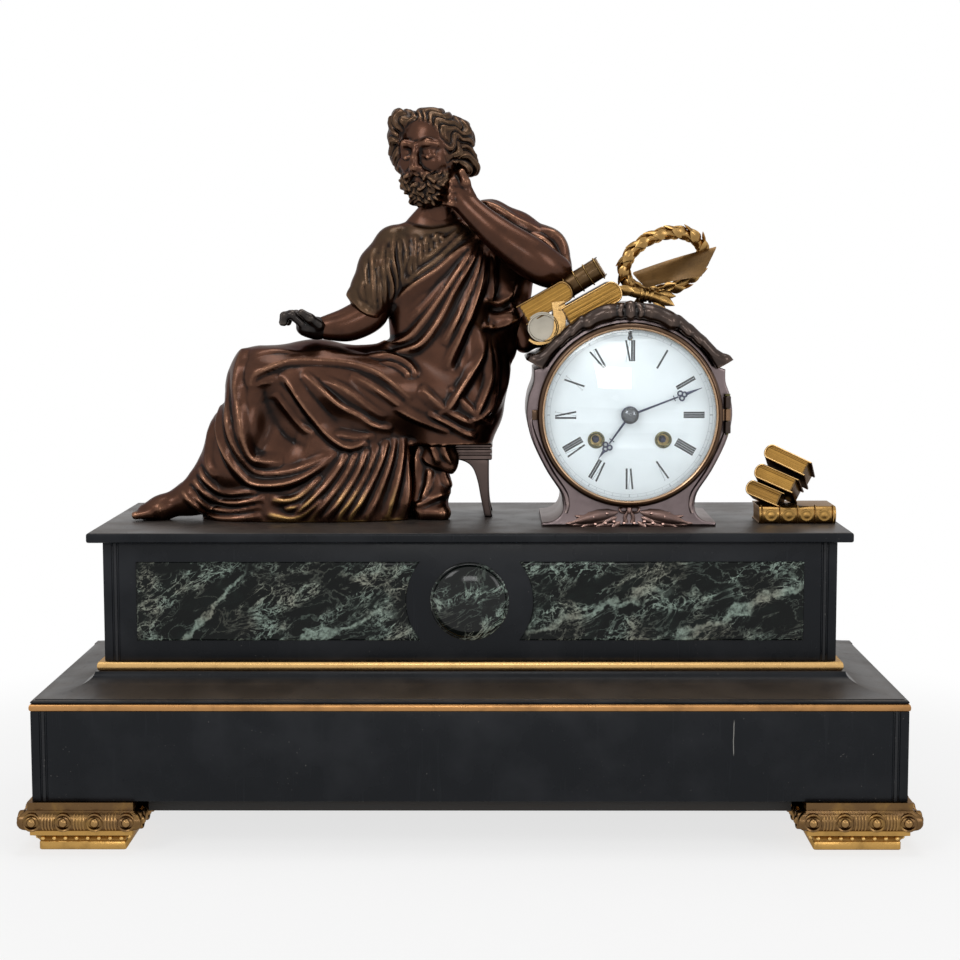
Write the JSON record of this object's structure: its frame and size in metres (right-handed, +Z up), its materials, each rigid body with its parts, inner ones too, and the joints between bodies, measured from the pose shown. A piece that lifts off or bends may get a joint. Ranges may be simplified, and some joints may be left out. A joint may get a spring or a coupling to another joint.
{
  "type": "figural mantel clock",
  "caption": "Slate and marble mantel clock with gilt feet, a bronze drum case, pendulum movement and a seated robed figure leaning on books.",
  "frame": {"origin": "bottom centre of the four feet, on the surface that the clock stands on", "axes": "+X to the right of the dial as seen from the front, +Y to the back, +Z up"},
  "size_m": [0.518, 0.208, 0.4288],
  "materials": {
    "slate": "polished black slate",
    "marble": "polished dark green marble with pale veins",
    "gilt": "worn gilding",
    "figure_bronze": "red-brown bronze patina with rubbed folds",
    "case_bronze": "dark bronze patina",
    "brass": "satin brass",
    "steel": "bright steel",
    "blued_steel": "blued steel",
    "bell_metal": "turned bell metal",
    "enamel": "fired white enamel",
    "glass": "clear domed glass",
    "wood": "dark stained board"
  },
  "bodies": {
    "root": {"base_board": "wood", "foot_front_left": "gilt", "foot_front_right": "gilt", "foot_rear_left": "gilt", "foot_rear_right": "gilt", "lower_gilt_fillet": "gilt", "upper_gilt_fillet": "gilt", "trophy_books": "gilt", "laurel_wreath": "gilt", "book_stack": "gilt", "plinth_front_slab": "slate", "plinth_left_slab": "slate", "plinth_right_slab": "slate", "cavetto_slab": "slate", "box_front_slab": "slate", "box_left_slab": "slate", "box_right_slab": "slate", "back_slab": "slate", "top_slab": "slate", "marble_panel_left": "marble", "marble_panel_right": "marble", "marble_boss": "marble", "drum_case": "case_bronze", "drum_canopy": "case_bronze", "dial": "enamel", "bezel_hinge_pin": "brass", "back_cover_hinge_pin": "brass", "front_plate": "brass", "back_plate": "brass", "suspension_cock": "brass", "bell": "bell_metal", "figure_body": "figure_bronze", "figure_head": "figure_bronze", "figure_left_arm": "figure_bronze", "figure_right_arm": "figure_bronze", "stool": "figure_bronze"},
    "bezel_door": {"bezel_ring": "case_bronze", "bezel_glass": "glass"},
    "back_door": {"back_cover": "brass"},
    "hands": {"cannon_pinion": "steel", "minute_hand": "blued_steel", "hand_nut": "steel"},
    "hour_work": {"hour_wheel": "brass", "hour_hand": "blued_steel"},
    "minute_work": {"minute_wheel": "brass"},
    "third_arbor": {"third_wheel": "brass"},
    "centre_arbor": {"centre_wheel": "brass"},
    "going_drive": {"going_barrel": "brass", "going_mainspring": "steel"},
    "escape_arbor": {"escape_wheel": "brass"},
    "swing": {"pendulum": "brass"},
    "anchor_arbor": {"anchor": "steel"},
    "going_winder": {"going_arbor": "steel"},
    "strike_winder": {"strike_arbor": "steel"},
    "pin_arbor": {"strike_pin_wheel": "brass"},
    "strike_drive": {"strike_barrel": "brass", "strike_mainspring": "steel"},
    "fly_arbor": {"strike_fly": "steel"},
    "hammer_arbor": {"hammer": "steel"},
    "regulator": {"regulator_arbor": "steel"}
  },
  "joints": [
    {"name": "bezel_opening", "type": "hinge", "parent": "root", "child": "bezel_door", "pos_m": [0.1515, -0.0386, 0.2464], "axis": [0, 0, 1], "range_deg": [0, 110]},
    {"name": "back_opening", "type": "hinge", "parent": "root", "child": "back_door", "pos_m": [0.1515, 0.0446, 0.2464], "axis": [0, 0, -1], "range_deg": [0, 110]},
    {"name": "hand_setting", "type": "hinge", "parent": "root", "child": "hands", "pos_m": [0.0943, 0, 0.2464], "axis": [0, 1, 0], "continuous": true},
    {"name": "hour_turn", "type": "hinge", "parent": "root", "child": "hour_work", "pos_m": [0.0943, 0, 0.2464], "axis": [0, 1, 0], "continuous": true},
    {"name": "minute_work_turn", "type": "hinge", "parent": "root", "child": "minute_work", "pos_m": [0.08582, 0, 0.25488], "axis": [0, 1, 0], "continuous": true},
    {"name": "third_turn", "type": "hinge", "parent": "root", "child": "third_arbor", "pos_m": [0.1083, 0, 0.2584], "axis": [0, 1, 0], "continuous": true},
    {"name": "centre_turn", "type": "hinge", "parent": "root", "child": "centre_arbor", "pos_m": [0.0943, 0, 0.2464], "axis": [0, 1, 0], "continuous": true},
    {"name": "going_barrel_turn", "type": "hinge", "parent": "root", "child": "going_drive", "pos_m": [0.114, 0, 0.2317], "axis": [0, 1, 0], "continuous": true},
    {"name": "escape_turn", "type": "hinge", "parent": "root", "child": "escape_arbor", "pos_m": [0.0943, 0, 0.2684], "axis": [0, 1, 0], "continuous": true},
    {"name": "pendulum_swing", "type": "hinge", "parent": "root", "child": "swing", "pos_m": [0.0943, 0, 0.2844], "axis": [0, 1, 0], "range_deg": [-4, 4]},
    {"name": "anchor_rock", "type": "hinge", "parent": "root", "child": "anchor_arbor", "pos_m": [0.0943, 0, 0.2804], "axis": [0, 1, 0], "range_deg": [-4, 4]},
    {"name": "going_winding", "type": "hinge", "parent": "root", "child": "going_winder", "pos_m": [0.114, 0, 0.2317], "axis": [0, 1, 0], "continuous": true},
    {"name": "strike_winding", "type": "hinge", "parent": "root", "child": "strike_winder", "pos_m": [0.0746, 0, 0.2317], "axis": [0, 1, 0], "continuous": true},
    {"name": "pin_wheel_turn", "type": "hinge", "parent": "root", "child": "pin_arbor", "pos_m": [0.07631, 0, 0.25622], "axis": [0, 1, 0], "continuous": true},
    {"name": "strike_barrel_turn", "type": "hinge", "parent": "root", "child": "strike_drive", "pos_m": [0.0746, 0, 0.2317], "axis": [0, 1, 0], "continuous": true},
    {"name": "fly_turn", "type": "hinge", "parent": "root", "child": "fly_arbor", "pos_m": [0.06946, 0, 0.26809], "axis": [0, 1, 0], "continuous": true},
    {"name": "hammer_lift", "type": "hinge", "parent": "root", "child": "hammer_arbor", "pos_m": [0.0613, 0, 0.2664], "axis": [0, 1, 0], "range_deg": [0, 18]},
    {"name": "regulator_turn", "type": "hinge", "parent": "root", "child": "regulator", "pos_m": [0.0943, 0, 0.2916], "axis": [0, 1, 0], "continuous": true}
  ],
  "couplings": [
    {"joint": "hour_turn", "follows": "hand_setting", "ratio": 0.083333},
    {"joint": "minute_work_turn", "follows": "hand_setting", "ratio": -0.33333},
    {"joint": "centre_turn", "follows": "third_turn", "ratio": -0.083333},
    {"joint": "going_barrel_turn", "follows": "third_turn", "ratio": 0.013889},
    {"joint": "escape_turn", "follows": "third_turn", "ratio": -13},
    {"joint": "anchor_rock", "follows": "pendulum_swing", "ratio": 1},
    {"joint": "strike_barrel_turn", "follows": "pin_wheel_turn", "ratio": -0.16667},
    {"joint": "fly_turn", "follows": "pin_wheel_turn", "ratio": -6}
  ]
}
